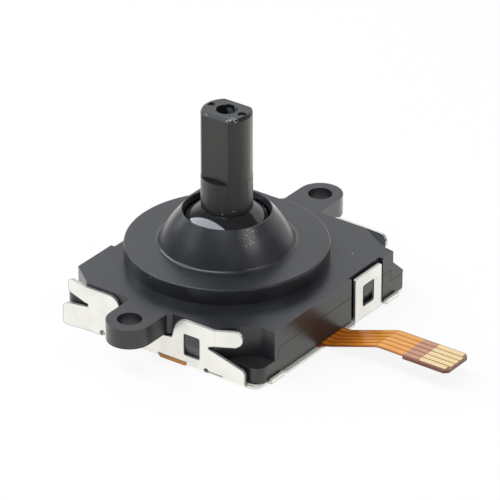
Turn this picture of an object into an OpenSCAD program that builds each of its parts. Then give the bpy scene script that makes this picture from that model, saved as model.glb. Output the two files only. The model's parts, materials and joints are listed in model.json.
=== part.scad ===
// Small two-axis analog stick with a press switch, a flex tail and two fixing lugs.
// The stick axis is the Z axis, and Z = 0 is the underside of the sheet-metal base.
// X runs towards the flex tail, and the lugs lie on the Y axis.

/* [Motion] */
// Tilt of the stick each way about each axis, in degrees
tilt = 12.5; // [10:0.5:13]
// Stroke of the press switch
press = 0.3; // [0.2:0.02:0.32]

/* [Housing] */
// Thickness of the housing's side walls
wall_t = 0.9; // [0.8:0.05:1.1]
// Room between the slider's way and the right wall
right_room = 0.36; // [0.2:0.02:1.2]
// Room between the slider's way and the back and front walls
side_room = 0.15; // [0.05:0.05:1]
// Room between the bearing and the left wall
left_room = 1.6; // [1.4:0.05:2.4]
// Height of the lower case, from the film up to the parting line
lower_h = 2.21; // [2.1:0.01:2.5]
// Height of the upper case's sides above the parting line
upper_h = 1.49; // [1.4:0.01:1.8]
// Thickness of the top plate
plate_t = 0.8; // [0.6:0.05:0.9]
// Open line between the two cases
parting_gap = 0.04; // [0.02:0.01:0.08]
// Length of the slanted cuts at the left corners, along X
left_cut_x = 2.1; // [1.6:0.1:2.4]
// Length of the slanted cuts at the left corners, along Y
left_cut_y = 1.64; // [1.2:0.02:2]
// Rounding of the lower case's left corners, below the slanted cuts
left_r = 0.77; // [0.5:0.01:1.2]
// Size of the cut at the front right corner, along X
right_cut_x = 3.9; // [3.4:0.1:4.2]
// Size of the cut at the front right corner, along Y
right_cut_y = 2.2; // [1.8:0.1:2.4]
// Height of the corner shelves above the film
shelf_h = 1.23; // [1.1:0.01:1.4]
// Rounding of the front shelf's outer corner
shelf_r = 0.9; // [0.5:0.1:1.2]
// Rounding of the back shelf's outer corner
shelf_back_r = 0.3; // [0.1:0.1:0.8]
// Rounding in the corner between the two walls over the front shelf
pocket_r = 1.2; // [0.6:0.1:1.6]

/* [Disc and collar] */
// Room between the drive arms and the side wall of the platform
disc_room = 0.35; // [0.2:0.05:0.4]
// Height of the platform above the plate
disc_h = 1.3; // [1.2:0.05:1.6]
// Thickness of the platform
disc_t = 0.56; // [0.5:0.02:0.6]
// Side wall of the platform
disc_wall = 0.8; // [0.6:0.05:1]
// Rounding of the platform's upper edge
disc_edge = 0.12; // [0.06:0.02:0.2]
// Wall of the collar at its foot, outside the dome's socket
collar_wall = 0.67; // [0.6:0.01:0.9]
// Height of the collar above the platform
collar_h = 2.7; // [2.4:0.05:2.9]
// Room between the fully tilted shaft and the collar's opening
gate_gap = 0.12; // [0.08:0.01:0.2]
// Width of the thin rim round the opening
rim_w = 0.08; // [0.06:0.01:0.14]
// Swell of the collar's flank outwards from a straight line
collar_swell = 0.13; // [0.05:0.01:0.2]
// Radius of the fillet at the foot of the collar
collar_fillet = 0.45; // [0.2:0.05:0.6]

/* [Fixing lugs] */
// From the housing's side to the middle of a lug's hole
lug_reach = 2.55; // [2.4:0.05:3.5]
// Outer radius of a lug
lug_r = 1.8; // [1.6:0.05:2]
// Radius of a lug's hole
lug_hole_r = 0.96; // [0.8:0.02:1.1]
// Thickness of a lug
lug_t = 1.61; // [1.4:0.01:1.8]

/* [Sheet-metal base] */
// Thickness of the sheet
sheet_t = 0.2; // [0.15:0.01:0.22]
// Gap between the housing and the upright sides of the sheet
sheet_gap = 0.05; // [0.03:0.01:0.1]
// Outer radius of the bends
bend_r = 0.3; // [0.26:0.01:0.4]
// Middle of the latch windows in the long sides, along X
latch_x = 4.05; // [3.9:0.05:4.2]
// Width of a latch window
window_w = 1.45; // [1.3:0.05:1.6]
// Height of a latch window
window_h = 1.8; // [1.6:0.05:1.9]
// Underside of the latch windows above the base
window_z = 0.98; // [0.9:0.02:1.1]
// Rounding of the corners of the windows
window_r = 0.14; // [0.05:0.01:0.25]
// Rounding of the upper corners of the side tabs
tab_r = 0.28; // [0.1:0.02:0.5]
// Radius of the relief holes at the ends of the long bends
relief_hole_r = 0.21; // [0.16:0.01:0.22]
// Height of the slots between the bent fingers and the tongues below them
slot_z = 2.2; // [2.1:0.05:2.3]
// Width of the side tabs
tab_w = 3.5; // [3.2:0.1:3.8]
// Room beside the right tab, towards the front
tab_room = 0.5; // [0.2:0.05:0.6]
// Depth of the recess behind each side tab
tab_recess = 0.36; // [0.34:0.01:0.4]
// Middle of the right tab, along Y
tab_y = 4.62; // [4.3:0.01:4.7]
// Middle of the left tab, along Y
tab_left_y = -1.95; // [-2.2:0.05:-1.6]

/* [Flex circuit] */
// Thickness of the film
film_t = 0.1; // [0.08:0.01:0.12]
// Width of the tail
tail_w = 3; // [2.8:0.1:3.2]
// Middle of the tail, along Y
tail_y = -0.1; // [-0.3:0.05:0.1]
// From the housing's right side to the end of the tail
tail_len = 11.44; // [9.5:0.1:14]
// Rise of the tail from the base to its end
tail_rise = 1.5; // [1.2:0.05:1.7]
// Length of each of the two bends of the tail
tail_bend = 0.6; // [0.3:0.05:0.9]
// Level stretch of the tail before its stiffened end
tail_level = 2; // [1:0.1:2.4]
// Widening of the tail at its root, on the front side
tail_flare = 0.45; // [0.2:0.05:0.6]
// Length of the stiffened end
stiff_len = 4; // [3.6:0.1:4.4]
// Thickness of the stiffener under the end
stiff_t = 0.22; // [0.15:0.01:0.25]
// Length of the bare contacts
contact_len = 2.62; // [2.2:0.02:3]
// Number of lines in the tail
lines = 5; // [4:1:5]
// Gap between two contacts
contact_gap = 0.1; // [0.08:0.01:0.14]
// Width of a copper line
line_w = 0.45; // [0.3:0.01:0.48]
// Thickness of copper, contacts and printed tracks
print_t = 0.03; // [0.02:0.005:0.035]

/* [Lever] */
// Radius of the shaft
shaft_r = 2; // [1.9:0.02:2.2]
// How much slimmer the flatted end is than the round part
end_ease = 0.02; // [0.01:0.01:0.05]
// Top of the shaft above the platform
shaft_rise = 11.2; // [10:0.1:13]
// From the shaft's axis to each flat
flat_d = 1.55; // [1.4:0.01:1.7]
// Length of the flats
flat_len = 5.5; // [4.5:0.1:6]
// Radius of the hole in the shaft's end
end_hole_r = 0.83; // [0.7:0.01:0.9]
// Depth of the hole in the shaft's end
end_hole_depth = 3; // [2:0.1:4]
// Chamfer round the shaft's end
end_chamfer = 0.22; // [0.1:0.02:0.3]
// Thickness of the dome
dome_t = 0.5; // [0.4:0.02:0.6]
// Gap between the dome and its seat in the collar
dome_gap = 0.12; // [0.1:0.01:0.16]
// Radius of the neck below the dome
neck_r = 1.2; // [1.1:0.02:1.3]
// Width of the square block at the pivot
block_w = 2.4; // [2.2:0.02:2.6]
// Radius of the stem below the block
stem_r = 0.9; // [0.84:0.02:0.96]

/* [Rockers] */
// Radius of the cross pin
pin_r = 0.4; // [0.34:0.01:0.44]
// Radial running gap of the cross pin and the trunnions
run_gap = 0.04; // [0.03:0.005:0.05]
// Wall of the rocker round the block
loop_wall = 0.5; // [0.45:0.01:0.6]
// Height of the rocker round the block, from the pivot up and down
loop_h = 0.7; // [0.6:0.02:0.74]
// Thickness of the arch
arch_t = 0.5; // [0.45:0.01:0.6]
// Wall on each side of the arch's slot
arch_wall = 0.55; // [0.5:0.01:0.65]
// Radius of the trunnions
trunnion_r = 0.5; // [0.4:0.01:0.55]
// Thickness of the bearing posts
post_t = 0.65; // [0.55:0.05:0.8]
// Radius of a drive arm's finger
finger_r = 0.35; // [0.3:0.01:0.38]
// Length of a slider, along its travel
slider_len = 3; // [2.6:0.1:3.4]
// Width of a slider, across its travel
slider_w = 2.6; // [2.4:0.02:3]

/* [Press switch and spring] */
// Radius of the snap dome
snap_r = 1.75; // [1.6:0.02:2]
// Height of the snap dome
snap_h = 0.35; // [0.34:0.005:0.38]
// Thickness of the snap dome
snap_t = 0.06; // [0.05:0.005:0.07]
// Radius of the switch plunger
plunger_r = 0.8; // [0.7:0.02:0.9]
// Thickness of the plunger's foot
foot_t = 0.22; // [0.18:0.01:0.3]
// Thickness of the spring's seat, over the plunger's foot
seat_t = 0.25; // [0.2:0.01:0.3]
// Thickness of the spring cap
cap_t = 0.3; // [0.26:0.01:0.36]
// Mean radius of the spring
spring_r = 1.75; // [1.6:0.01:1.85]
// Thickness of the spring's wire
wire_t = 0.2; // [0.16:0.01:0.22]
// Turns of the spring
turns = 3; // [2.5:0.25:3.5]

/* [Hidden] */
$fn = 64;

// Small overlap that joins shapes of one solid, and the reach of cutting shapes
eps = 0.01;
far = 40;

// Gap beside a part that slides in a way, and the gap under it
slider_gap = 0.05;
slider_lift = 0.02;

// Heights of the film, the floor and the switch, from the table upwards
film_z = sheet_t + film_t;
print_z = film_z + print_t;
floor_t = 0.6;
floor_z = film_z + floor_t;
foot_z = print_z + snap_h + slider_lift;
recess_z = foot_z + foot_t + 0.03;
seat_z = recess_z + seat_t;

// Heights of the housing
shelf_z = film_z + shelf_h;
parting_z = film_z + lower_h;
plate_z = parting_z + upper_h;
ceiling_z = plate_z - plate_t;
disc_z = plate_z + disc_h;
disc_ceiling_z = disc_z - disc_t;
rim_z = disc_z + collar_h;
shaft_z = disc_z + shaft_rise;
ledge_z = shaft_z - flat_len;
pivot_z = disc_ceiling_z - trunnion_r - run_gap;
lug_z = plate_z - lug_t;
window_top_z = window_z + window_h;

// Block, cross pin and loop round the pivot, counted from the pivot
block_top = loop_h + 0.35;
block_bottom = -0.75;
block_gap = 0.05;
pin_flat = 0.08;
pin_slot = pin_r - pin_flat + 0.03;
window_half = block_w / 2 + block_top * sin(tilt) + block_gap;
loop_x = window_half + loop_wall;
loop_y = block_w / 2 + block_gap + loop_wall + 0.1;

// Arch over the loop
arch_r = norm([loop_x, loop_y, loop_h]) + 0.12;
arch_out_r = arch_r + arch_t;
slot_gap = 0.06;
arch_half_w = neck_r + slot_gap + arch_wall;
arch_slot = (arch_out_r + neck_r) * sin(tilt) + neck_r;

// Dome over the arch, its socket, and the round gate above it
dome_in_r = arch_out_r + press + 0.36;
dome_r = dome_in_r + dome_t;
socket_r = dome_r + dome_gap;
gate = acos(cos(tilt) * cos(tilt));
opening_r = gate_r(rim_z);
collar_r = socket_r + collar_wall;

// Flat arms between the pivot and the bearing posts, and the rim of the dome above them
arm_half_w = 0.7;
arm_top = 0.2;
arm_bottom = -0.45;
dome_rim = dome_r * cos(acos((arm_top + press + 0.11) / dome_r) - tilt);
post_in = socket_r + 0.25;
post_out = post_in + post_t;
post_half_w = 1.1;
arm_end = post_in - 0.1;

// Sliders, on the side away from the stick axis, and the arms that drive them
slider_in = post_out + 0.1;
slider_out = slider_in + slider_w;
slider_z = floor_z + slider_lift;
finger_z = slider_z + finger_r + 0.33;
slider_top = finger_z + 0.7;
pocket_z = finger_z - finger_r - 0.2;
drive_in = post_out + 0.5;
drive_t = 0.65;
drive_out = drive_in + drive_t;
slider_travel = (pivot_z - finger_z) * sin(tilt) + 0.04;
keel_z = print_z + 0.29;
keel_in = 0.3;
well_half = slider_len / 2 + slider_travel + slider_gap;
way_out = slider_out + 0.4;
// The arm is slimmer than its finger, so that it can lean inside the slider's pocket
shank_half = finger_r - (slider_top - finger_z) * tan(tilt);

// Contact leaves and the tracks below them
wiper_t = 0.06;
track_w = 0.5;
track_in = slider_in + 0.75;
track_out = slider_out - 0.7;

// Press switch, spring and cap
recess_r = snap_r + 0.2;
foot_r = plunger_r + 0.5;
seat_r = spring_r + wire_t / 2 + 0.9;
cap_r = spring_r + wire_t / 2 + 0.45;
cap_top = -loop_h - cap_r * sin(tilt) - 0.15;
cap_bottom = cap_top - cap_t;
tip_r = pivot_z - seat_z - press - 0.03;

// Sides of the housing, from the stick axis
body_left = post_out + left_room + wall_t;
body_right = way_out + right_room + wall_t;
body_half_w = way_out + side_room + wall_t;
disc_r = drive_out + disc_room + disc_wall;
lug_pitch_half = body_half_w + lug_reach;
lug_flare = 0.3;
lug_root = body_half_w - 1.2;

// Outline of the housing, seen from above
cut_in_x = body_right - 1.55;
cut_in_y = body_half_w - right_cut_y;
cut_angle = atan2(right_cut_y, right_cut_x - 1.55);
back_cut_y = body_half_w - 1.8;
outline_left = [[-body_left + left_cut_x, body_half_w],
                [-body_left, body_half_w - left_cut_y],
                [-body_left, -body_half_w + left_cut_y],
                [-body_left + left_cut_x, -body_half_w]];
outline_front = concat([[body_right - right_cut_x, -body_half_w]],
                       arc([cut_in_x + pocket_r * tan(cut_angle / 2), -cut_in_y - pocket_r],
                           pocket_r, 90 + cut_angle, 90, 5),
                       [[body_right, -cut_in_y]]);
outline_back = [[body_right, back_cut_y],
                [body_right - 0.86, back_cut_y + 0.15],
                [body_right - 1.35, back_cut_y + 0.35],
                [body_right - 1.85, back_cut_y + 0.62],
                [body_right - right_cut_x + 0.1, body_half_w]];
outline = concat(outline_left, outline_front, outline_back);

// Hollow inside both cases
hollow = [[-body_left + left_cut_x + 0.3, body_half_w - wall_t],
          [-body_left + wall_t, body_half_w - left_cut_y - 0.4],
          [-body_left + wall_t, -body_half_w + left_cut_y + 0.4],
          [-body_left + left_cut_x + 0.3, -body_half_w + wall_t],
          [body_right - right_cut_x - 0.35, -body_half_w + wall_t],
          [cut_in_x - 0.35, -cut_in_y + wall_t],
          [body_right - wall_t, -cut_in_y + wall_t],
          [body_right - wall_t, back_cut_y - wall_t],
          [cut_in_x - 0.6, back_cut_y - wall_t],
          [body_right - right_cut_x - 0.3, body_half_w - wall_t]];

// Corner pieces at the right
shelf_w = 2.9;
shelf_inset = 0.27;
step_y = cut_in_y - 0.45;
ramp_w = 1.45;
ramp_in_y = back_cut_y - 0.3;
ramp_out_y = body_half_w - 0.45;
ramp_top_z = plate_z - 1.02;
ramp_low_z = shelf_z + 0.27;

// Lips of the base plate, turned up beside the housing's right wall
lip_in_y = cut_in_y - 0.85;
lip_out_y = cut_in_y + 0.8;
lip_gap = 0.08;
lip_x = body_right + lip_gap + sheet_t;
lip_z = film_z + 0.07;

// Ledge of the base plate that stands out under the tail
ledge_x = body_right + 0.28;
ledge_front_y = -lip_in_y + 0.2;
ledge_back_y = tab_y - tab_w / 2;

// Upright sides of the sheet
sheet_in = body_half_w + sheet_gap;
sheet_out = sheet_in + sheet_t;
tab_out_right = body_right + 0.02;
tab_out_left = body_left + 0.02;
wing_x = -body_left + 2.2;
relief_l = wing_x + 1.5;
relief_r = body_right - 4.56;
hook_x = relief_r + 0.75;
sheet_end = body_right - 0.99;
relief_z = 0.27;
slit_len = 1.5;
slit_t = 0.06;

// Ears of the film that show in slots of the upright sides
ear_x = 0.98;
ear_w = 2.52;
ear_low_z = 0.03;
ear_top_z = film_z + 0.07;
ear_flap_t = 0.12;

// Latches in the sides
latch_room = 0.35;
latch_z = window_z + 0.12;
latch_half = window_w / 2 - 0.06;
latch_top_z = window_top_z - 0.06;

// Tail of the flex circuit
tail_end = body_right + tail_len;
tail_top = film_z + tail_rise;
stiff_x = tail_end - stiff_len;
contact_x = tail_end - contact_len;
contact_pitch = (tail_w - 0.1) / lines;
contact_w = contact_pitch - contact_gap;
rise_start = body_right + 0.3;
rise_len = stiff_x - rise_start - tail_level;
bend_share = tail_bend / rise_len;
film_end = body_right - 0.5;
tail_front = tail_y - tail_w / 2;
tail_back = tail_y + tail_w / 2;
tail_corner = 0.3;

// Pegs that locate the lower case on the film and the base
peg_r = 0.5;
peg_gap = 0.06;
peg_x = -body_left + 2.4;
peg_y = body_half_w - 4.15;
pegs = [[peg_x, -peg_y], [peg_x, peg_y]];

case_colour = "#3a3c3d";
metal_colour = "#dcdad6";

// Tool marks in the shaft's end face, beside the hole
mark_x = end_hole_r + 0.59;
mark_t = 0.12;
mark_half = 0.235;
mark_r = 0.33;

function arc(c, r, a0, a1, n) = [for (i = [0 : n]) c + r * [cos(a0 + (a1 - a0) * i / n),
                                                            sin(a0 + (a1 - a0) * i / n)]];

// Corner points of a rectangle with rounded corners
function soft_box(x0, x1, y0, y1, r) = concat(
    arc([x1 - r, y1 - r], r, 0, 90, 4), arc([x0 + r, y1 - r], r, 90, 180, 4),
    arc([x0 + r, y0 + r], r, 180, 270, 4), arc([x1 - r, y0 + r], r, 270, 360, 4));

// Points mirrored in Y and taken the other way round
function other_side(points) = [for (i = [len(points) - 1 : -1 : 0]) [points[i][0], -points[i][1]]];

// Radius of the opening at a height, so that its wall lies along the fully tilted shaft
function gate_r(z) = (z - pivot_z) * tan(gate) + shaft_r / cos(gate) + gate_gap;

// Straight climb of the tail between two bends, for t from 0 to 1, with b the share of one bend
function climb(t, b) =
    t <= 0 ? 0 : t >= 1 ? 1 :
    t < b ? t * t / (2 * b * (1 - b)) :
    t > 1 - b ? 1 - (1 - t) * (1 - t) / (2 * b * (1 - b)) : (t - b / 2) / (1 - b);
function tail_z(x) = film_z + tail_rise * climb((x - rise_start) / rise_len, bend_share);

module slab(points, z0, z1) {
    translate([0, 0, z0]) linear_extrude(z1 - z0) polygon(points);
}

module block(x0, x1, y0, y1, z0, z1) {
    translate([x0, y0, z0]) cube([x1 - x0, y1 - y0, z1 - z0]);
}

module both_sides() {
    children();
    mirror([0, 1, 0]) children();
}

module both_ends() {
    children();
    mirror([1, 0, 0]) children();
}

// A quarter turn that carries the parts on the X axis over to the Y axis
module to_y() {
    rotate([0, 0, 90]) children();
}

// Shelf at a right corner, drawn at the front, with its rounded outer corner
module shelf(r) {
    x0 = body_right - shelf_w;
    y0 = -body_half_w + shelf_inset;
    slab(concat([[x0, -step_y], [x0, y0]],
                arc([body_right - r, y0 + r], r, -90, 0, 10),
                [[body_right, -step_y]]), film_z, shelf_z);
}

// Left corner of the lower case, drawn at the front, that stands out below the slanted cut
module left_corner() {
    slab(concat([[-body_left + left_cut_x, -body_half_w + left_cut_y]],
                [[-body_left, -body_half_w + left_cut_y]],
                arc([-body_left + left_r, -body_half_w + left_r], left_r, 180, 270, 8),
                [[-body_left + left_cut_x, -body_half_w]]), film_z, parting_z - parting_gap);
}

// Latch nose: flat catch above, ramp below; it stands out of a wall along +X
module nose(depth, half_w, z0, z1) {
    translate([0, half_w, 0]) rotate([90, 0, 0]) linear_extrude(2 * half_w)
        polygon([[-0.3, z0], [0, z0], [depth, (z0 + z1) / 2 + 0.05], [depth, z1], [-0.3, z1]]);
}

// The two cuts for trunnions, along X and along Y
module trunnion_cuts() {
    for (a = [0, 90]) {
        rotate([0, 0, a]) translate([0, 0, pivot_z]) rotate([0, 90, 0])
            cylinder(r = trunnion_r + run_gap, h = 2 * drive_out, center = true);
    }
}

module collar() {
    top_r = opening_r + rim_w;
    flank = [for (i = [1 : 12]) let (t = i / 12) [
        collar_r + (top_r - collar_r) * t + collar_swell * sin(180 * t),
        disc_z + collar_h * t]];
    lean = atan2(collar_r - top_r, collar_h);
    foot_r = collar_r + collar_fillet * (cos(lean) - (1 - sin(lean)) * tan(lean));
    rotate_extrude($fn = 128)
        polygon(concat([[opening_r - 0.6, disc_z - 0.2], [foot_r, disc_z - 0.2]],
                       arc([foot_r, disc_z + collar_fillet], collar_fillet, 270, 180 + lean, 5),
                       flank, [[opening_r - 0.6, rim_z]]));
}

module tab_cuts() {
    block(body_right - tab_recess, far, tab_y - tab_w / 2 - tab_room, tab_y + tab_w / 2 + 0.18,
          -1, far);
    block(-far, -body_left + tab_recess, tab_left_y - tab_w / 2 - 0.28,
          tab_left_y + tab_w / 2 + 0.28, -1, far);
}

// Skirts of the upper case that carry the latch noses, grown by a gap when they cut the lower case
module latch_skirts(gap) {
    half = window_w / 2 + latch_room + gap;
    both_sides() block(latch_x - half, latch_x + half, -body_half_w, -body_half_w + wall_t,
                       latch_z - gap, parting_z + eps);
    block(body_right - wall_t, body_right - tab_recess + eps, tab_y - half, tab_y + half,
          latch_z - gap, parting_z + eps);
    block(-body_left + tab_recess - eps, -body_left + wall_t, tab_left_y - half,
          tab_left_y + half, latch_z - gap, parting_z + eps);
}

// Wall of the upper case that reaches down to the shelf at the front right
module corner_skirt() {
    difference() {
        slab(outline, shelf_z + parting_gap, parting_z + eps);
        slab(hollow, -1, far);
        block(-far, body_right - right_cut_x, -far, far, -1, far);
        block(-far, far, -step_y, far, -1, far);
    }
}

// Sloped block on the shelf at the back right corner
module ramp_block() {
    low = shelf_z + parting_gap;
    translate([body_right - ramp_w, 0, 0]) rotate([90, 0, 90]) linear_extrude(ramp_w)
        polygon([[ramp_in_y, low], [ramp_out_y, low], [ramp_out_y, ramp_low_z],
                 [back_cut_y + 0.08, ramp_top_z], [ramp_in_y, ramp_top_z]]);
}

// Round platform with a rounded upper edge
module platform() {
    rotate_extrude($fn = 160)
        polygon(concat([[0, plate_z - eps], [disc_r, plate_z - eps]],
                       arc([disc_r - disc_edge, disc_z - disc_edge], disc_edge, 0, 90, 4),
                       [[0, disc_z]]));
}

module lugs() {
    both_sides() difference() {
        union() {
            translate([0, -lug_pitch_half, lug_z]) cylinder(r = lug_r, h = lug_t);
            block(-lug_r, lug_r, -lug_pitch_half, -lug_root, lug_z, plate_z);
            slab([[-lug_r - lug_flare, -body_half_w], [-lug_r, -body_half_w - lug_flare],
                  [lug_r, -body_half_w - lug_flare], [lug_r + lug_flare, -body_half_w],
                  [lug_r + lug_flare, -lug_root], [-lug_r - lug_flare, -lug_root]], lug_z, plate_z);
        }
        translate([0, -lug_pitch_half, lug_z - 1]) cylinder(r = lug_hole_r, h = lug_t + 2);
    }
}

module upper_case() color(case_colour) {
    difference() {
        union() {
            difference() {
                slab(outline, parting_z, plate_z);
                tab_cuts();
            }
            platform();
            collar();
            lugs();
            difference() {
                latch_skirts(0);
                tab_cuts();
            }
            corner_skirt();
            ramp_block();
        }
        slab(hollow, -1, ceiling_z);
        translate([0, 0, ceiling_z - 1])
            cylinder(r = disc_r - disc_wall, h = disc_ceiling_z - ceiling_z + 1, $fn = 128);
        translate([0, 0, pivot_z]) sphere(r = socket_r, $fn = 128);
        translate([0, 0, disc_z])
            cylinder(r1 = gate_r(disc_z), r2 = gate_r(rim_z + 1), h = collar_h + 1, $fn = 128);
    }
    difference() {
        for (a = [0 : 90 : 270]) {
            rotate([0, 0, a]) block(post_in, post_out, -post_half_w, post_half_w,
                                    pivot_z + 0.03, disc_ceiling_z + eps);
        }
        trunnion_cuts();
    }
    for (a = [0, 90]) {
        rotate([0, 0, a]) block(slider_out - 0.7, slider_out - 0.2, -0.4, 0.4,
                                slider_top + slider_gap, ceiling_z + eps);
    }
    depth = sheet_gap + sheet_t - 0.02;
    both_sides() translate([latch_x, -body_half_w, 0]) rotate([0, 0, -90])
        nose(depth, latch_half, latch_z, latch_top_z);
    translate([body_right - tab_recess, tab_y, 0])
        nose(tab_recess, latch_half, latch_z, latch_top_z);
    translate([-body_left + tab_recess, tab_left_y, 0]) rotate([0, 0, 180])
        nose(tab_recess, latch_half, latch_z, latch_top_z);
}

// Well, rails and way for one slider, on the X axis
module slider_well() {
    block(slider_in + keel_in - slider_gap, slider_out - keel_in + slider_gap,
          -well_half, well_half, 0, floor_z + 1);
}

module lower_case() color("#2c2e30") difference() {
    union() {
        difference() {
            union() {
                slab(outline, film_z, parting_z - parting_gap);
                both_sides() left_corner();
                shelf(shelf_r);
                mirror([0, 1, 0]) shelf(shelf_back_r);
            }
            slab(hollow, floor_z, far);
            tab_cuts();
            latch_skirts(0.03);
            block(body_right - right_cut_x - parting_gap, far, -far, -step_y + parting_gap,
                  shelf_z, far);
            block(body_right - ramp_w - parting_gap, far, ramp_in_y - parting_gap, far,
                  shelf_z, far);
            both_sides() block(-lug_r - lug_flare - parting_gap, lug_r + lug_flare + parting_gap,
                               -far, -lug_root + parting_gap, lug_z - parting_gap, far);
        }
        translate([0, 0, film_z]) cylinder(r = seat_r, h = seat_z - film_z);
        for (a = [0 : 90 : 270]) {
            rotate([0, 0, a]) block(post_in, post_out, -post_half_w, post_half_w,
                                    film_z, pivot_z);
        }
        for (a = [0, 90]) {
            rotate([0, 0, a]) block(slider_out + slider_gap, way_out, -well_half - 0.4,
                                    well_half + 0.4, film_z, slider_top - 0.6);
        }
        for (p = pegs) {
            translate([p[0], p[1], 0.03]) cylinder(r = peg_r, h = film_z + 0.1);
        }
    }
    slider_well();
    to_y() slider_well();
    trunnion_cuts();
    translate([0, 0, film_z - 1]) cylinder(r = recess_r, h = recess_z - film_z + 1);
    cylinder(r = plunger_r + slider_gap, h = far);
    block(body_right - wall_t - 0.4, far, tail_front - tail_flare - 0.1, tail_back + 0.1,
          0, film_z + 0.06);
}

// Upright side of the sheet, drawn as X and Z
module side_sheet() {
    peak = plate_z - 0.02;
    valley = lug_z - 0.35;
    valley_l = -lug_r - 0.65;
    valley_r = lug_r + 0.4;
    fillet_l = 0.98;
    fillet_r = 1.1;
    tongue_r = 0.42;
    polygon(concat(
        [[wing_x, 0.02], [relief_l, 0.02], [relief_l, bend_r - eps], [sheet_end, bend_r - eps],
         [sheet_end, slot_z - 1.1]],
        arc([sheet_end - tongue_r, slot_z - 1.18], tongue_r, 10, 72, 5),
        [[hook_x - 0.3, slot_z - 0.04]],
        arc([hook_x - 0.43, slot_z + 0.1], 0.13, -130, -270, 6),
        [[hook_x, slot_z + 0.4], [hook_x, peak]],
        arc([hook_x - 1.5 - fillet_r, peak - fillet_r], fillet_r, 90, 165, 7),
        [[valley_r, valley + 0.1], [valley_r - 0.7, valley], [valley_l, valley]],
        arc([valley_l - 0.27 - fillet_l, peak - 0.22 - fillet_l], fillet_l, 10, 90, 7),
        [[wing_x, peak - 0.22], [wing_x, slot_z + 0.16]],
        arc([wing_x + 0.04, slot_z + 0.02], 0.14, 90, -90, 6),
        [[wing_x, slot_z - 0.18]]));
}

// Finger bent in over the housing's right corner
module right_finger() {
    polygon(concat([[-0.04, slot_z + 0.4], [1.75, slot_z + 0.66]],
                   arc([1.6, plate_z - 0.43], 0.66, -70, 70, 8),
                   [[1.55, plate_z + 0.2], [-0.04, plate_z - 0.02]]));
}

// Upper and lower wing at the left end
module upper_wing() {
    polygon(concat([[0.04, plate_z - 0.24], [-0.6, plate_z - 0.16]],
                   arc([-1.4, plate_z - 0.5], 0.42, 70, 180, 6),
                   [[-1.78, slot_z + 0.56], [-0.1, slot_z + 0.16], [0.04, slot_z + 0.16]]));
}

module lower_wing() {
    polygon(concat([[0.04, 0.02], [0.04, slot_z - 0.16], [-0.1, slot_z - 0.16],
                    [-1.6, slot_z - 0.22]],
                   arc([-1.68, slot_z - 0.67], 0.42, 80, 180, 6),
                   arc([-1.8, 0.32], 0.3, 180, 270, 5)));
}

// Window over a latch, drawn as X and Z
module window_shape() {
    linear_extrude(2)
        polygon(soft_box(-window_w / 2, window_w / 2, window_z, window_top_z, window_r));
}

// Sheet metal drawn as X and Z, standing at the front and turned about its root at X = x
module upright(x, angle) {
    translate([x, -sheet_in, 0]) rotate([0, 0, angle]) rotate([90, 0, 0])
        linear_extrude(sheet_t) children();
}

// One upright side at the front, with its bend, bent fingers, latch window and slots
module front_side() {
    difference() {
        union() {
            upright(0, 0) side_sheet();
            upright(hook_x, 14) right_finger();
            upright(wing_x, -5) upper_wing();
            upright(wing_x, 7) lower_wing();
            intersection() {
                translate([relief_l, -sheet_out + bend_r, bend_r]) rotate([0, 90, 0])
                    difference() {
                        cylinder(r = bend_r, h = sheet_end - relief_l);
                        translate([0, 0, -1]) cylinder(r = bend_r - sheet_t, h = far);
                    }
                block(-far, far, -far, -sheet_out + bend_r, -far, bend_r);
            }
        }
        translate([latch_x, -sheet_in + 1, 0]) rotate([90, 0, 0]) window_shape();
        block(ear_x - slider_gap, ear_x + ear_w + slider_gap, -far, -sheet_out + bend_r,
              -1, ear_top_z + 0.03);
        for (x = [relief_l, relief_r]) {
            translate([x, -sheet_out + 1, relief_z]) rotate([90, 0, 0])
                cylinder(r = relief_hole_r, h = 2);
        }
        block(relief_r, relief_r + slit_len, -far, -sheet_in + 0.1, relief_z - slit_t / 2,
              relief_z + slit_t / 2);
    }
}

// Side tab standing at X = 0, facing +X
module tab(out) {
    half = tab_w / 2;
    top = plate_z - 0.25 - tab_r;
    difference() {
        union() {
            translate([out - sheet_t, 0, 0]) rotate([90, 0, 90]) linear_extrude(sheet_t)
                polygon(concat([[-half, 0], [half, 0]], arc([half - tab_r, top], tab_r, 0, 90, 5),
                               arc([-half + tab_r, top], tab_r, 90, 180, 5)));
            block(out - 1.2, out, -half, half, 0, sheet_t);
        }
        translate([out - 1, 0, 0]) rotate([90, 0, 90]) window_shape();
    }
}

module base_frame() color(metal_colour) {
    edge = sheet_out - bend_r;
    front = [[-body_left + 0.1, -edge + 1.9], [-body_left + 2.0, -edge], [sheet_end - 0.2, -edge],
             [sheet_end - 0.1, -edge - 0.1], [sheet_end + 0.4, -edge - 0.08],
             [body_right - 0.25, -edge + 0.08], [body_right - 0.04, -edge + 0.4],
             [body_right + 0.03, -lip_out_y], [lip_x, -lip_out_y], [lip_x, -lip_in_y],
             [body_right, -lip_in_y]];
    difference() {
        union() {
            slab(concat(front, other_side(front)), 0, sheet_t);
            slab([[body_right - 1, ledge_front_y], [body_right + 0.1, ledge_front_y],
                  [ledge_x, ledge_front_y + 0.3], [ledge_x, ledge_back_y - 0.5],
                  [ledge_x - 0.08, ledge_back_y - 0.2], [body_right, ledge_back_y],
                  [body_right - 1, ledge_back_y]], 0, sheet_t);
        }
        for (p = pegs) {
            translate([p[0], p[1], -1]) cylinder(r = peg_r + peg_gap, h = 3);
        }
    }
    both_sides() block(lip_x - sheet_t, lip_x, -lip_out_y, -lip_in_y, 0, lip_z);
    both_sides() front_side();
    translate([0, tab_y, 0]) tab(tab_out_right);
    mirror([1, 0, 0]) translate([0, tab_left_y, 0]) tab(tab_out_left);
}

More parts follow.
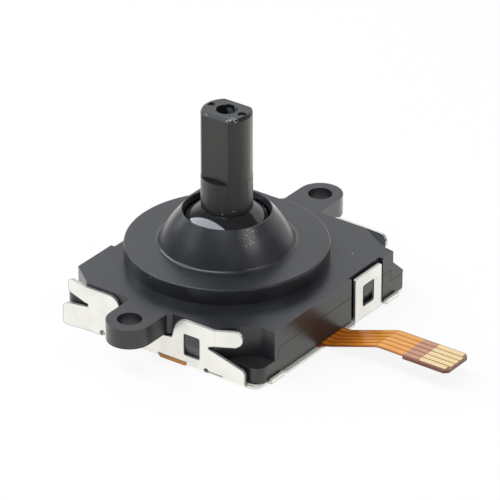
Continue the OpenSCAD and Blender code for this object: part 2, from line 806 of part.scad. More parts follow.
// Profile of the tail in X and Z, between two heights above its underside
function bend_points(x) = [for (i = [0 : 6]) x + tail_bend * i / 6];
function tail_profile(x0, x1, low, high) =
    let (xs = concat([x0], bend_points(rise_start),
                     bend_points(rise_start + rise_len - tail_bend), [x1]), n = len(xs) - 1)
    concat([for (i = [0 : n]) [xs[i], tail_z(xs[i]) - film_t + low]],
           [for (i = [n : -1 : 0]) [xs[i], tail_z(xs[i]) - film_t + high]]);

// Outline of the tail's end from x0 on, with its two cut corners
function tail_end_outline(x0) =
    [[x0, tail_front], [tail_end - tail_corner, tail_front], [tail_end, tail_front + tail_corner],
     [tail_end, tail_back - tail_corner], [tail_end - tail_corner, tail_back], [x0, tail_back]];

// Film of the tail from the housing to its stiffened end, wider at the root
module tail_film() {
    root_x = film_end - 1;
    intersection() {
        translate([0, tail_back, 0]) rotate([90, 0, 0]) linear_extrude(tail_w + tail_flare)
            polygon(tail_profile(root_x, stiff_x, 0, film_t));
        slab([[root_x - 1, tail_front - tail_flare], [body_right + 0.1, tail_front - tail_flare],
              [body_right + 0.3, tail_front - tail_flare / 2], [body_right + 0.6, tail_front],
              [stiff_x + 1, tail_front], [stiff_x + 1, tail_back + 1], [root_x - 1, tail_back + 1]],
             0, tail_top + 1);
    }
}

module flex_circuit() color("#c47a1c") {
    ear_end = (ear_top_z - ear_low_z) / 2;
    difference() {
        union() {
            slab([[-body_left + 0.7, -body_half_w + 2.6], [-body_left + 2.4, -body_half_w + 0.6],
                  [ear_x + ear_end, -body_half_w + 0.6], [ear_x + ear_end, -sheet_out + 0.1],
                  [ear_x + ear_w - ear_end, -sheet_out + 0.1],
                  [ear_x + ear_w - ear_end, -body_half_w + 0.6], [film_end - 3.4, -body_half_w + 0.6],
                  [film_end - 1.2, -cut_in_y + 0.4], [film_end, -cut_in_y + 0.4],
                  [film_end, cut_in_y - 0.4], [film_end - 1.2, cut_in_y - 0.4],
                  [film_end - 3.4, body_half_w - 0.6],
                  [-body_left + 2.4, body_half_w - 0.6], [-body_left + 0.7, body_half_w - 2.6]],
                 sheet_t, film_z);
            // Flap of the ear, folded down in the slot of the sheet
            translate([0, -sheet_out + 0.02 + ear_flap_t, 0]) rotate([90, 0, 0])
                linear_extrude(ear_flap_t)
                polygon(soft_box(ear_x, ear_x + ear_w, ear_low_z, ear_top_z, ear_end - eps));
            tail_film();
            slab(tail_end_outline(stiff_x - eps), tail_top - film_t, tail_top);
        }
        for (p = pegs) {
            translate([p[0], p[1], -1]) cylinder(r = peg_r + peg_gap, h = 3);
        }
    }
}

module flex_traces() color("#b8651b") {
    for (i = [0 : lines - 1]) {
        y = tail_y + (i - (lines - 1) / 2) * contact_pitch;
        translate([0, y + line_w / 2, 0]) rotate([90, 0, 0]) linear_extrude(line_w)
            polygon(tail_profile(body_right - 0.2, contact_x - 0.05, film_t, film_t + 0.02));
    }
}

module contact_pads() color("#f0d9a0") {
    for (i = [0 : lines - 1]) {
        y = tail_y + (i - (lines - 1) / 2) * contact_pitch;
        trim = (i == 0 || i == lines - 1) ? 0.25 : 0.06;
        block(contact_x, tail_end - trim, y - contact_w / 2, y + contact_w / 2,
              tail_top, tail_top + print_t);
    }
}

module flex_stiffener() color("#a5694f") {
    slab(tail_end_outline(stiff_x), tail_top - film_t - stiff_t, tail_top - film_t);
}

module carbon_tracks() color("#1e1e20") {
    for (a = [0, 90]) {
        rotate([0, 0, a]) for (x = [track_in, track_out]) {
            block(x - track_w / 2, x + track_w / 2, -well_half + 0.2, well_half - 0.2, film_z, print_z);
        }
    }
}

module switch_pads() color("#d9b45a") {
    translate([0, 0, film_z]) cylinder(r = 0.6, h = print_t);
    translate([0, 0, film_z]) difference() {
        cylinder(r = snap_r + 0.05, h = print_t);
        translate([0, 0, -1]) cylinder(r = snap_r - 0.35, h = 3);
    }
}

module snap_dome() color("#cfcfcd") {
    ball = (snap_r * snap_r + snap_h * snap_h) / (2 * snap_h);
    translate([0, 0, print_z]) intersection() {
        translate([0, 0, snap_h - ball]) difference() {
            sphere(r = ball, $fn = 128);
            sphere(r = ball - snap_t, $fn = 128);
        }
        cylinder(r = snap_r, h = 1);
    }
}

module switch_plunger() color("#d8d6cf") {
    translate([0, 0, foot_z]) cylinder(r = foot_r, h = foot_t);
    translate([0, 0, foot_z]) cylinder(r = plunger_r, h = seat_z + press - foot_z);
}

module return_spring() color("#b9bcc0") {
    low = seat_z + wire_t / 2 + eps;
    high = pivot_z + cap_bottom - wire_t / 2 - eps;
    sides = 8;
    rings = 18 * turns;
    points = [for (k = [0 : rings], j = [0 : sides - 1])
        let (a = 360 * turns * k / rings, b = 360 * j / sides, r = spring_r + wire_t / 2 * cos(b))
        [r * cos(a), r * sin(a), low + (high - low) * k / rings + wire_t / 2 * sin(b)]];
    skin = [for (k = [0 : rings - 1], j = [0 : sides - 1]) let (n = (j + 1) % sides)
        [k * sides + j, k * sides + n, (k + 1) * sides + n, (k + 1) * sides + j]];
    ends = [[for (j = [sides - 1 : -1 : 0]) j], [for (j = [0 : sides - 1]) rings * sides + j]];
    polyhedron(points = points, faces = concat(skin, ends), convexity = 6);
}

module spring_cap() color("#e4e2da") {
    translate([0, 0, pivot_z + cap_bottom]) difference() {
        union() {
            cylinder(r = cap_r, h = cap_t);
            cylinder(r = spring_r - wire_t / 2 - 0.1, h = cap_t);
        }
        translate([0, 0, -1]) cylinder(r = stem_r + 0.01, h = 3);
    }
}

module lever() color("#333538") {
    end_r = shaft_r - end_ease;
    root_z = pivot_z + dome_r - 0.9;
    difference() {
        union() {
            // Shaft, round at the bottom and a little slimmer where it is flatted
            rotate_extrude($fn = 96) polygon([
                [0, root_z], [shaft_r, root_z], [shaft_r, ledge_z], [end_r, ledge_z],
                [end_r, shaft_z - end_chamfer],
                [end_r - 0.3 * end_chamfer, shaft_z - 0.3 * end_chamfer],
                [end_r - end_chamfer, shaft_z], [0, shaft_z]]);
            translate([0, 0, pivot_z]) intersection() {
                difference() {
                    sphere(r = dome_r, $fn = 128);
                    sphere(r = dome_in_r, $fn = 128);
                }
                translate([0, 0, dome_rim]) cylinder(r = far, h = far);
            }
            translate([0, 0, pivot_z + block_top - 0.1])
                cylinder(r = neck_r, h = dome_r - block_top - 0.1);
            block(-block_w / 2, block_w / 2, -block_w / 2, block_w / 2,
                  pivot_z + block_bottom, pivot_z + block_top);
            translate([0, 0, pivot_z + cap_top]) cylinder(r = stem_r + 0.2, h = -cap_top);
            // Stem with a bead that holds the spring cap, ending in a ball face round the pivot
            intersection() {
                union() {
                    translate([0, 0, pivot_z - tip_r - 1]) cylinder(r = stem_r, h = tip_r + 1);
                    translate([0, 0, pivot_z + cap_bottom - 0.3])
                        cylinder(r = stem_r + 0.1, h = 0.28);
                }
                translate([0, 0, pivot_z]) sphere(r = tip_r, $fn = 128);
            }
        }
        // Slot that lets the lever move down on the cross pin
        block(-pin_slot, pin_slot, -block_w, block_w, pivot_z - pin_r - 0.03,
              pivot_z + pin_r + press + 0.05);
        both_sides() block(-far, far, flat_d, far, ledge_z, far);
        // Chamfer along the top of each flat
        both_sides() rotate([90, 0, 90]) linear_extrude(2 * shaft_r + 2, center = true)
            polygon([[flat_d - end_chamfer, shaft_z + eps], [flat_d + eps, shaft_z - end_chamfer],
                     [flat_d + 1, shaft_z - end_chamfer], [flat_d + 1, shaft_z + 1],
                     [flat_d - end_chamfer, shaft_z + 1]]);
        translate([0, 0, shaft_z - end_hole_depth]) cylinder(r = end_hole_r, h = far);
        // Shallow tool marks on the end face
        translate([mark_x, 0, shaft_z - mark_t]) cylinder(r = mark_r, h = far);
        block(-mark_x - mark_half, -mark_x + mark_half, -mark_half, mark_half,
              shaft_z - mark_t, far);
    }
}

module pivot_pin() color("#c9cacb") {
    half = loop_y - 0.03;
    flat_half = block_w / 2 + 0.02;
    translate([0, 0, pivot_z]) difference() {
        rotate([90, 0, 0]) cylinder(r = pin_r, h = 2 * half, center = true);
        both_ends() block(pin_r - pin_flat, far, -flat_half, flat_half, -far, far);
    }
}

// Arm and finger that drive a slider, for a rocker that turns about X
module drive_arm() {
    translate([drive_in, 0, pivot_z]) rotate([0, 90, 0]) cylinder(r = trunnion_r, h = drive_t);
    block(drive_in, drive_out, -shank_half, shank_half, finger_z, pivot_z);
    translate([drive_in, 0, finger_z]) rotate([0, 90, 0]) cylinder(r = finger_r, h = drive_t);
}

// Trunnions and flat arms common to both rockers, along X
module rocker_ends(inner) {
    both_ends() {
        block(inner, arm_end, -arm_half_w, arm_half_w, pivot_z + arm_bottom, pivot_z + arm_top);
        translate([arm_end - 0.15, 0, pivot_z]) rotate([0, 90, 0])
            cylinder(r = trunnion_r, h = post_t + 0.3);
    }
    translate([arm_end - 0.15, 0, pivot_z]) rotate([0, 90, 0])
        cylinder(r = trunnion_r, h = drive_in - arm_end + 0.2);
    drive_arm();
}

module rocker_x() color("#e8e5dc") {
    difference() {
        union() {
            block(-loop_x, loop_x, -loop_y, loop_y, pivot_z - loop_h, pivot_z + loop_h);
            rocker_ends(loop_x - 0.1);
        }
        block(-window_half, window_half, -block_w / 2 - block_gap, block_w / 2 + block_gap,
              -far, far);
        translate([0, 0, pivot_z]) rotate([90, 0, 0])
            cylinder(r = pin_r + run_gap, h = far, center = true);
    }
}

module rocker_y() color("#d6d2c6") {
    difference() {
        translate([0, 0, pivot_z]) intersection() {
            difference() {
                sphere(r = arch_out_r, $fn = 96);
                sphere(r = arch_r, $fn = 96);
            }
            block(-arch_half_w, arch_half_w, -far, far, arm_bottom, far);
        }
        block(-neck_r - slot_gap, neck_r + slot_gap, -arch_slot, arch_slot, pivot_z, far);
    }
    to_y() rocker_ends(arch_r + 0.15);
}

// Slider on the X axis, with its keel and the pocket for the drive arm's finger
module slider_body() {
    difference() {
        union() {
            block(slider_in, slider_out, -slider_len / 2, slider_len / 2, slider_z, slider_top);
            block(slider_in + keel_in, slider_out - keel_in, -slider_len / 2, slider_len / 2,
                  keel_z, slider_z + eps);
        }
        block(drive_in - 0.12, drive_out + 0.12, -finger_r - run_gap, finger_r + run_gap,
              pocket_z, far);
    }
}

// Contact leaf under a slider: a plate and two sprung fingers, one on each track
module wiper_leaf() {
    plate = 0.95;
    low = print_z + slider_lift;
    block(slider_in + keel_in + 0.1, slider_out - keel_in - 0.1, -plate, plate,
          keel_z - wiper_t, keel_z);
    for (x = [track_in, track_out]) {
        translate([x - 0.2, 0, 0]) rotate([90, 0, 90]) linear_extrude(0.4)
            polygon([[plate, keel_z], [plate, keel_z - wiper_t], [0.35, low + wiper_t / 2],
                     [0.2, low], [0.05, low], [-0.2, low + 0.06], [-0.2, low + 0.12],
                     [0.1, low + wiper_t], [0.25, low + wiper_t + 0.02]]);
    }
}

module slider_y() color("#efece2") slider_body();

module slider_x() color("#efece2") to_y() slider_body();

module wiper_y() color("#d2ab54") wiper_leaf();

module wiper_x() color("#d2ab54") to_y() wiper_leaf();

upper_case();
lower_case();
base_frame();
flex_circuit();
flex_traces();
contact_pads();
flex_stiffener();
carbon_tracks();
switch_pads();
snap_dome();
switch_plunger();
return_spring();
spring_cap();
lever();
pivot_pin();
rocker_x();
rocker_y();
slider_x();
slider_y();
wiper_x();
wiper_y();
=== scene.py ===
"""Looks of the analog stick: the photograph's camera, soft studio light, and a material for each piece.

The part's own frame: the stick's axis is Z, Z = 0 is the underside of the base, X runs towards the flex tail
and the lugs lie on the Y axis. Lengths are in millimetres, and MM turns them into Blender's metres.
"""

import json
import math

import bpy
from mathutils import Matrix, Vector


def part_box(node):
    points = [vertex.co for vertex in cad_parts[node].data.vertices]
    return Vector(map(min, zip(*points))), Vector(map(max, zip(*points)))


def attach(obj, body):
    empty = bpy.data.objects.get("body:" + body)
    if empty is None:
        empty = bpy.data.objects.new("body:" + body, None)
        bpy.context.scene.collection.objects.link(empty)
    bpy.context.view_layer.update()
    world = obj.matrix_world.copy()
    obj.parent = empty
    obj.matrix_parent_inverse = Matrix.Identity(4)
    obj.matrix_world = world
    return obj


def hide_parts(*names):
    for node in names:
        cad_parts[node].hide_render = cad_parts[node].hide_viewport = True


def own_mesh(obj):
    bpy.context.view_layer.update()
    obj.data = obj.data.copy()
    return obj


MM = 0.001
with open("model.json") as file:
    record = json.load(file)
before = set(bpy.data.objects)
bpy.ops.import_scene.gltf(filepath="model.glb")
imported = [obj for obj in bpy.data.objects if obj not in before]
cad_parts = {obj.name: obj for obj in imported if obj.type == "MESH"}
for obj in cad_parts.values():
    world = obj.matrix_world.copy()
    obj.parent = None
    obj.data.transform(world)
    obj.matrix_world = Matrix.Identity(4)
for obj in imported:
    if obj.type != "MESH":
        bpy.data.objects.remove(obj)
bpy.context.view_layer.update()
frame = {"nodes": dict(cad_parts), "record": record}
nodes = frame["nodes"]
scene = bpy.context.scene

# Places that come from the solids. The shaft's end stands 11.2 above the platform's top, the pivot lies 1.1
# below it, and the dome meets the shaft 2.95 above it.
CASE_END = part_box("upper_case")[1].x / MM
STIFF_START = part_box("flex_stiffener")[0].x / MM
SHAFT_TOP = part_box("lever")[1].z / MM
DISC_TOP = SHAFT_TOP - 11.2
PIVOT = Vector((0, 0, DISC_TOP - 1.1))
SHAFT_FOOT = DISC_TOP + 2.95
HOLE_R = next(m["dims"]["r_mm"] for m in frame["record"]["mounts"] if m["name"] == "shaft_hole")

# Camera, as in the photograph
AZIMUTH, ELEVATION = math.radians(36.076), math.radians(28.746)
DISTANCE = 378.2
AIM_RIGHT, AIM_UP = 1.754, -0.773
FOCAL_PIXELS, FRAME_PIXELS, SENSOR = 4957.6, 500, 36.0
NEAREST, FARTHEST = 10, 10000


def photograph_camera():
    """Looks from a place along back, past a point beside the middle of the platform's top."""
    back = Vector((math.sin(AZIMUTH) * math.cos(ELEVATION), -math.cos(AZIMUTH) * math.cos(ELEVATION),
                   math.sin(ELEVATION)))
    right = Vector((math.cos(AZIMUTH), math.sin(AZIMUTH), 0))
    up = back.cross(right)
    place = Vector((0, 0, DISC_TOP)) + AIM_RIGHT * right + AIM_UP * up + DISTANCE * back
    camera = bpy.data.objects.new("camera", bpy.data.cameras.new("camera"))
    camera.data.sensor_width = SENSOR
    camera.data.lens = FOCAL_PIXELS * SENSOR / FRAME_PIXELS
    camera.data.clip_start, camera.data.clip_end = NEAREST * MM, FARTHEST * MM
    camera.matrix_world = Matrix.Translation(place * MM) @ Matrix((right, up, back)).transposed().to_4x4()
    scene.collection.objects.link(camera)
    scene.camera = camera


photograph_camera()
scene.view_settings.view_transform = "Standard"


class Nodes:
    """Short names for the nodes of one tree."""

    def __init__(self, tree):
        self.tree = tree
        self.tree.nodes.clear()

    def put(self, socket, value):
        """Links a socket to another one, or sets its value; a colour may leave out its alpha."""
        if isinstance(value, bpy.types.NodeSocket):
            self.tree.links.new(value, socket)
        elif hasattr(socket.default_value, "__len__") and len(socket.default_value) == 4 and len(value) == 3:
            socket.default_value = (*value, 1)
        else:
            socket.default_value = value

    def add(self, kind, inputs=(), **settings):
        node = self.tree.nodes.new("ShaderNode" + kind)
        for key, value in settings.items():
            setattr(node, key, value)
        for key, value in dict(inputs).items():
            self.put(node.inputs[key], value)
        return node

    def vector(self, operation, a, b=(0, 0, 0), output="Vector"):
        """A vector operation; its output is Value where it gives a number."""
        return self.add("VectorMath", {0: a, 1: b}, operation=operation).outputs[output]

    def times(self, a, b):
        return self.add("Math", {0: a, 1: b}, operation="MULTIPLY").outputs[0]

    def plus(self, a, b):
        return self.add("Math", {0: a, 1: b}, operation="ADD").outputs[0]

    def most(self, a, b):
        return self.add("Math", {0: a, 1: b}, operation="MAXIMUM").outputs[0]

    def span(self, value, low, high, a=0.0, b=1.0, smooth=True):
        """Carries a value from low to high over to a to b."""
        inputs = {"Value": value, "From Min": low, "From Max": high, "To Min": a, "To Max": b}
        kind = "SMOOTHSTEP" if smooth else "LINEAR"
        return self.add("MapRange", inputs, interpolation_type=kind).outputs[0]

    def wavering(self, noise, a=0.0, b=1.0):
        """a where a noise is low and b where it is high."""
        return self.span(noise, 0.3, 0.7, a, b)

    def blend(self, factor, a, b):
        """A number between a and b."""
        return self.add("Mix", {0: factor, 2: a, 3: b}).outputs[0]

    def mix(self, factor, a, b):
        """A colour between a and b."""
        node = self.add("Mix", {0: factor}, data_type="RGBA")
        self.put(node.inputs["A"], a)
        self.put(node.inputs["B"], b)
        return node.outputs["Result"]


class Look(Nodes):
    """A material on a Principled shader. All its lengths are in mm."""

    def __init__(self, name, **settings):
        self.mat = bpy.data.materials.new(name)
        self.mat.use_nodes = True
        super().__init__(self.mat.node_tree)
        self.out = self.add("OutputMaterial")
        self.shader = self.add("BsdfPrincipled")
        self.put(self.out.inputs["Surface"], self.shader.outputs[0])
        self.set(**settings)
        place = self.add("TexCoord").outputs["Object"]
        self.mm = self.vector("MULTIPLY", place, (1 / MM,) * 3)

    def set(self, **settings):
        """Sets or links the shader's own inputs; an underscore stands for a space."""
        for key, value in settings.items():
            self.put(self.shader.inputs[key.replace("_", " ")], value)

    def axis(self, name):
        return self.add("SeparateXYZ", {0: self.mm}).outputs[name]

    def normal(self, name):
        return self.add("SeparateXYZ", {0: self.add("NewGeometry").outputs["Normal"]}).outputs[name]

    def noise(self, scale, detail=3, rough=0.5, stretch=(1, 1, 1), shift=0.0):
        """Noise with so many features a millimetre, drawn out along an axis by a stretch above 1."""
        where = self.vector("MULTIPLY", self.mm, [1 / s for s in stretch])
        if shift:
            where = self.vector("ADD", where, (shift,) * 3)
        inputs = {"Vector": where, "Scale": scale, "Detail": detail, "Roughness": rough}
        return self.add("TexNoise", inputs).outputs["Fac"]

    def cells(self, scale, shift):
        """Distance to the nearest of scattered points, so many a millimetre."""
        where = self.vector("ADD", self.mm, (shift,) * 3)
        return self.add("TexVoronoi", {"Vector": where, "Scale": scale}).outputs["Distance"]

    def near(self, point, radius, soft):
        """1 within radius of a point, falling to 0 over a soft share of it."""
        away = self.vector("DISTANCE", self.mm, point, "Value")
        return self.span(away, radius, radius * (1 + soft), 1, 0)

    def dots(self, colour, places, radius, dot):
        """A colour with a small dot of another one at each of some places."""
        for place in places:
            colour = self.mix(self.near(place, radius, 0.8), colour, dot)
        return colour

    def edges(self, width):
        """1 along the sharp edges, falling to 0 at width from them."""
        rounded = self.add("Bevel", {"Radius": width * MM}, samples=8).outputs[0]
        straight = self.add("NewGeometry").outputs["Normal"]
        alike = self.vector("DOT_PRODUCT", rounded, straight, "Value")
        return self.span(alike, 0.99, 0.85)

    def bump(self, height, distance):
        inputs = {"Height": height, "Distance": distance * MM, "Strength": 1.0}
        self.set(Normal=self.add("Bump", inputs).outputs[0])


# Where noise varies a roughness, the range lies below 0.27 or above 0.28: one across both gets dark outlines
# from the denoiser.
CASE_ROUGH, ACETAL_ROUGH, DOME_ROUGH, END_ROUGH = 0.29, 0.38, 0.05, 0.24
GREY_DUST = (0.30, 0.29, 0.26)
GOLDEN_DUST = (0.48, 0.40, 0.22)
GOLDEN_PLACE, GOLDEN_REACH = (3.56, -1.78, 7.39), 0.5
CASE_SPECKS = [(-1.45, -7.76, 5.05), (7.63, 5.81, 4.0)]
CASE_SPECK_R, CASE_SPECK = 0.035, (0.6, 0.6, 0.6)
SHAFT_SPECKS = [(-0.89, -1.78, 8.36), (0.9, -1.79, 8.56), (1.55, -1.26, 8.8)]
SHAFT_SPECK_R, SHAFT_SPECK = 0.03, (0.45, 0.46, 0.48)
BARE_PLASTIC = (0.42, 0.42, 0.41)
# Painted glint: a lighter bluish colour for the hole in the shaft's end
PAINTED_GLINT = (0.17, 0.18, 0.22)
# The first colour darkens the sheet's specks and paints shade along its edges
EDGE_SHADE_AND_SPECK, LEDGE = (0.10, 0.092, 0.082), (0.80, 0.77, 0.70)


def lighter(colour, factor, more):
    """A colour times a factor, plus a little of white."""
    return [min(1, c * factor + more) for c in colour]


def moulded(name, base, rough, grain=0.0008, dust=0.5):
    """Moulded plastic: a skin with faint clouds, fine grain, a painted highlight along the edges and a little
    dust.
    """
    look = Look(name)
    cloud = look.noise(0.35, 4, 0.6)
    colour = look.mix(look.span(cloud, 0.35, 0.7), base, lighter(base, 1.5, 0.002))
    # Painted highlight: the colour is lighter along the sharp edges
    colour = look.mix(look.times(look.edges(0.07), 0.6), colour, lighter(base, 3.5, 0.01))
    patches = look.span(look.noise(0.5, 2, shift=7.0), 0.58, 0.7)
    specks = look.times(look.span(look.cells(1.7, 3.1), 0.065, 0.045), look.times(patches, dust))
    look.base = look.mix(specks, colour, GREY_DUST)
    look.set(Base_Color=look.base, Roughness=look.span(cloud, 0.3, 0.75, rough, rough + 0.06))
    look.bump(look.noise(7.0, 4, 0.6), grain)
    return look


def case_look():
    """The upper case, with golden dust stuck on the collar's front and two white specks."""
    look = moulded("moulded_case", (0.016, 0.0165, 0.0195), CASE_ROUGH)
    grains = look.span(look.cells(7.0, 1.3), 0.34, 0.22)
    grains = look.times(grains, look.near(GOLDEN_PLACE, GOLDEN_REACH, 1.2))
    grains = look.times(grains, look.span(look.noise(2.6, 3, shift=2.0), 0.42, 0.55))
    colour = look.mix(grains, look.base, GOLDEN_DUST)
    look.set(Base_Color=look.dots(colour, CASE_SPECKS, CASE_SPECK_R, CASE_SPECK))
    return look


def lever_look():
    """The lever: a satin shaft with scuffs and a worn end, over a polished dome."""
    look = Look("moulded_lever")
    streaks = look.noise(5, 4, 0.6, stretch=(1, 1, 14))
    height = look.axis("Z")
    on_shaft = look.span(height, SHAFT_FOOT, SHAFT_FOOT + 0.15)
    scuffs = look.span(look.noise(1.1, 5, 0.7, stretch=(1, 1, 3)), 0.6, 0.72)
    colour = look.mix(look.times(scuffs, 0.25), (0.012, 0.012, 0.012), (0.05, 0.05, 0.05))

    # Chips along the edge of the shaft's end
    chips = look.most(look.near((1.42, -1.25, 16.42), 0.3, 0.8),
                      look.near((-0.95, -1.75, 16.42), 0.22, 0.9))
    chips = look.times(chips, look.span(look.noise(6.5, 4, 0.6, shift=4.0), 0.5, 0.56))
    chips = look.times(chips, look.span(height, SHAFT_TOP - 0.25, SHAFT_TOP - 0.12))
    colour = look.mix(chips, colour, BARE_PLASTIC)
    colour = look.dots(colour, SHAFT_SPECKS, SHAFT_SPECK_R, SHAFT_SPECK)

    # Painted glints: lighter bluish patches in the colour of the hole's wall in the shaft's end
    flat = look.vector("MULTIPLY", look.mm, (1, 1, 0))
    in_hole = look.span(look.vector("LENGTH", flat, output="Value"), HOLE_R + 0.03, HOLE_R + 0.005)
    painted_glints = look.times(in_hole, look.span(look.noise(2.6, 1, 0.5, shift=9.0), 0.5, 0.66))
    look.set(Base_Color=look.mix(painted_glints, colour, PAINTED_GLINT))

    on_end = look.span(look.normal("Z"), 0.7, 0.9)
    satin = look.blend(on_end, look.wavering(streaks, 0.34, 0.42), END_ROUGH)
    look.set(Roughness=look.blend(on_shaft, DOME_ROUGH, satin))
    look.bump(look.times(streaks, on_shaft), 0.0015)
    return look


def metal_look():
    """The folded sheet: bright brushed plating with painted shade along its sharp edges and creases, dark
    specks, and a matt ledge round the case.
    """
    look = Look("plated_sheet")
    grain = look.noise(7, 4, 0.6, stretch=(9, 9, 1))
    up_face = look.span(look.normal("Z"), 0.6, 0.8)
    ledge = look.times(up_face, look.span(look.axis("Z"), 0.5, 0.45))
    smudge = look.span(look.noise(0.55, 4, 0.65), 0.35, 0.7)
    colour = look.mix(smudge, (0.715, 0.71, 0.69), (0.65, 0.645, 0.625))
    # Painted shade: a dark line along the sheet's sharp edges and creases, none on faces that look up
    edge_shade = look.times(look.edges(0.14), look.span(up_face, 0, 1, 0.85, 0))
    specks = look.span(look.cells(0.55, 5.0), 0.03, 0.02)
    colour = look.mix(look.most(edge_shade, specks), colour, EDGE_SHADE_AND_SPECK)
    look.set(Base_Color=look.mix(ledge, colour, LEDGE),
             Metallic=look.span(ledge, 0, 1, 0.8, 0.1),
             Roughness=look.wavering(grain, 0.28, 0.38))
    look.bump(grain, 0.001)
    return look


def along_tail(look, inside, shaded_slope, level, backed):
    """A colour for each stretch of the flex: inside the case, on the slope, level, and over the stiffener."""
    x = look.axis("X")
    colour = look.mix(look.span(x, CASE_END - 0.1, CASE_END), inside, shaded_slope)
    colour = look.mix(look.span(x, CASE_END + 1.6, STIFF_START - 2.0), colour, level)
    return look.mix(look.span(x, STIFF_START - 0.06, STIFF_START + 0.06), colour, backed)


def film_look():
    """The amber film of the flex, with painted shade that makes it darkest on the slope."""
    look = Look("amber_film", Specular_IOR_Level=0.5, Coat_Weight=0.3, Coat_Roughness=0.1)
    # Painted shade: the slope's colour is darker than the level stretch's
    colour = along_tail(look, inside=(0.60, 0.21, 0.002), shaded_slope=(0.22, 0.045, 0.003),
                        level=(0.40, 0.12, 0.008), backed=(0.24, 0.075, 0.04))
    look.set(Base_Color=colour, Roughness=look.wavering(look.noise(0.8, 3), 0.18, 0.26))
    return look


def trace_look():
    """The copper lines, seen through the film."""
    look = Look("copper_lines", Coat_Weight=0.3, Coat_Roughness=0.1)
    noise = look.noise(3, 3, stretch=(6, 1, 1))
    tone = look.wavering(noise)
    # Painted shade: the lines are darker on the slope than on the level stretch
    shaded_slope = look.mix(tone, (0.58, 0.155, 0.006), (0.70, 0.20, 0.01))
    level = look.mix(tone, (0.76, 0.29, 0.01), (0.84, 0.34, 0.02))
    colour = along_tail(look, (0.58, 0.19, 0.005), shaded_slope, level, (0.53, 0.235, 0.12))
    look.set(Base_Color=colour, Roughness=look.wavering(noise, 0.28, 0.36))
    return look


def gold_look():
    """The pale gold of the contacts, pads and leaves."""
    look = Look("gold_plating", Metallic=0.9)
    noise = look.noise(2.5, 3, 0.5, stretch=(5, 1, 1))
    look.set(Base_Color=look.mix(look.wavering(noise), (0.88, 0.66, 0.34), (0.93, 0.75, 0.45)),
             Roughness=look.wavering(noise, 0.28, 0.38))
    return look


def stiffener_look():
    """The reddish plate under the tail's end."""
    look = Look("stiffener_film", Specular_IOR_Level=0.5)
    noise = look.noise(1.5, 3)
    look.set(Base_Color=look.mix(look.wavering(noise), (0.15, 0.035, 0.02), (0.20, 0.05, 0.03)),
             Roughness=look.wavering(noise, 0.3, 0.42))
    return look


def carbon_look():
    """The printed resistance tracks."""
    look = Look("printed_carbon")
    noise = look.noise(14, 4)
    look.set(Base_Color=look.mix(noise, (0.008, 0.008, 0.009), (0.03, 0.03, 0.032)), Roughness=0.6)
    look.bump(noise, 0.003)
    return look


def steel_look():
    """Bright spring steel, drawn along Z."""
    look = Look("spring_steel", Metallic=1.0)
    noise = look.noise(6, 3, stretch=(1, 1, 5))
    look.set(Base_Color=look.mix(noise, (0.62, 0.62, 0.63), (0.78, 0.78, 0.79)),
             Roughness=look.wavering(noise, 0.16, 0.26))
    return look


# Each look with the nodes that wear it
WORN_BY = [
    (case_look(), ["upper_case"]),
    (moulded("moulded_lower_case", (0.015, 0.0148, 0.0145), CASE_ROUGH, dust=0.3), ["lower_case"]),
    (lever_look(), ["lever"]),
    (metal_look(), ["base_frame"]),
    (film_look(), ["flex_circuit"]),
    (trace_look(), ["flex_traces"]),
    (gold_look(), ["contact_pads", "switch_pads", "wiper_x", "wiper_y"]),
    (stiffener_look(), ["flex_stiffener"]),
    (carbon_look(), ["carbon_tracks"]),
    (steel_look(), ["snap_dome", "return_spring", "pivot_pin"]),
    (moulded("natural_acetal", (0.62, 0.60, 0.54), ACETAL_ROUGH, grain=0.001, dust=0.0),
     ["switch_plunger", "spring_cap", "rocker_x", "rocker_y", "slider_x", "slider_y"]),
]
for look, names in WORN_BY:
    for name in names:
        node = nodes[name]
        node.data.materials.clear()
        node.data.materials.append(look.mat)


def gives_way(name):
    """A copy of a spring on the root body, in place of the hidden spring."""
    copy = bpy.data.objects.new(name + "_giving", nodes[name].data.copy())
    scene.collection.objects.link(copy)
    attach(copy, "root")
    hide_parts(name)
    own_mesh(copy)


gives_way("return_spring")
gives_way("snap_dome")

# Floor, light and background
FLOOR_HALF = 1500
FLOOR_NEAR, FLOOR_FAR = 35, 130
FLOOR_BRIGHT, FLOOR_DIM = 1.5, 0.3
FLOOR_GLOWING = 0.88


def studio_floor():
    """White to the camera; in reflections bright near the part, most of all behind it, and dim far off."""
    half = FLOOR_HALF * MM
    corners = [(-half, -half, 0), (half, -half, 0), (half, half, 0), (-half, half, 0)]
    mesh = bpy.data.meshes.new("floor")
    mesh.from_pydata(corners, [], [(0, 1, 2, 3)])
    floor = bpy.data.objects.new("floor", mesh)
    scene.collection.objects.link(floor)

    look = Look("floor", Base_Color=(0.86, 0.86, 0.86), Roughness=0.7)
    seen = look.add("LightPath").outputs
    mirrored = look.most(seen["Is Glossy Ray"], seen["Is Transmission Ray"])
    shown = look.most(seen["Is Camera Ray"], mirrored)
    away = look.vector("LENGTH", look.mm, output="Value")
    lit = look.span(away, FLOOR_NEAR, FLOOR_FAR, FLOOR_BRIGHT, FLOOR_DIM)
    lit = look.times(lit, look.span(look.axis("Y"), 6, 24, 1.0, 1.5, smooth=False))
    lit = look.times(lit, look.span(look.axis("X"), 9, 13, 1.0, 0.85))
    glow = look.add("Emission", {"Color": look.mix(mirrored, (1, 1, 1), (1.0, 0.99, 0.93)),
                                 "Strength": look.blend(mirrored, 1.0, lit)})
    glowing = look.times(shown, FLOOR_GLOWING)
    both = look.add("MixShader", {0: glowing, 1: look.shader.outputs[0], 2: glow.outputs[0]})
    look.put(look.out.inputs["Surface"], both.outputs[0])
    mesh.materials.append(look.mat)


def aim(azimuth, elevation):
    """The direction at an azimuth from +X and an elevation, in degrees."""
    a, e = math.radians(azimuth), math.radians(elevation)
    return math.cos(a) * math.cos(e), math.sin(a) * math.cos(e), math.sin(e)


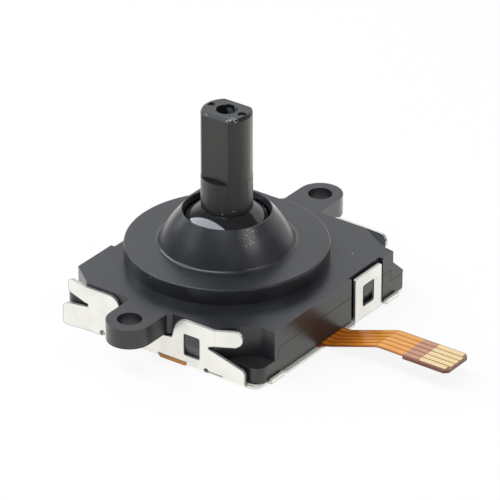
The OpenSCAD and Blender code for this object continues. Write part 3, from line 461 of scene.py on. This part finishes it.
BACKDROP = aim(110, 18)
BACKDROP_NONE, BACKDROP_FULL = math.cos(math.radians(54)), math.cos(math.radians(38))
HIGH, LOW = 0.66, 0.62
BACKDROP_LIGHT, LOW_LIGHT, HIGH_LIGHT = 0.92, 0.3, 0.2


def studio_world():
    """White to the camera; for the part, a bright backdrop behind it up to 40 degrees, and dim elsewhere."""
    world = bpy.data.worlds.new("studio")
    scene.world = world
    world.use_nodes = True
    sky = Nodes(world.node_tree)
    direction = sky.add("TexCoord").outputs["Generated"]
    low = sky.span(sky.add("SeparateXYZ", {0: direction}).outputs["Z"], HIGH, LOW)
    towards = sky.vector("DOT_PRODUCT", direction, BACKDROP, "Value")
    backdrop = sky.span(towards, BACKDROP_NONE, BACKDROP_FULL)
    level = sky.plus(sky.span(sky.times(low, backdrop), 0, 1, 0.0, BACKDROP_LIGHT, smooth=False),
                     sky.span(low, 0, 1, HIGH_LIGHT, LOW_LIGHT, smooth=False))
    room = sky.add("Background", {"Color": (0.97, 0.985, 1.0), "Strength": level})
    white = sky.add("Background", {"Color": (1, 1, 1), "Strength": 1.0})
    to_camera = sky.add("LightPath").outputs["Is Camera Ray"]
    both = sky.add("MixShader", {0: to_camera, 1: room.outputs[0], 2: white.outputs[0]})
    sky.add("OutputWorld", {"Surface": both.outputs[0]})


def softbox(name, towards, edge, distance, size, radiance, colour=(1, 1, 1)):
    """A rectangular soft light that faces the pivot.

    towards: from the pivot to the light; edge: the direction of its long side, roughly.
    """
    towards = Vector(towards).normalized()
    edge = Vector(edge)
    edge = (edge - edge.dot(towards) * towards).normalized()
    data = bpy.data.lights.new(name, "AREA")
    data.shape = "RECTANGLE"
    data.size, data.size_y = size[0] * MM, size[1] * MM
    data.energy = radiance * math.pi * data.size * data.size_y
    data.color = colour
    lamp = bpy.data.objects.new(name, data)
    turned = Matrix((edge, towards.cross(edge), towards)).transposed().to_4x4()
    lamp.matrix_world = Matrix.Translation((towards * distance + PIVOT) * MM) @ turned
    lamp.visible_camera = False
    scene.collection.objects.link(lamp)


studio_floor()
studio_world()
# The key is a long strip, which draws the crescent on the dome
softbox("key", (-0.469, -0.252, 0.846), (0.870, -0.297, 0.394), 300, (660, 76), 8.2, (0.89, 0.965, 1.05))
softbox("left", aim(226, 34), (0.7, -0.7, 0.0), 420, (190, 120), 1.4)
softbox("right", aim(4, 44), (0.0, 1.0, 0.0), 420, (150, 150), 4.4)
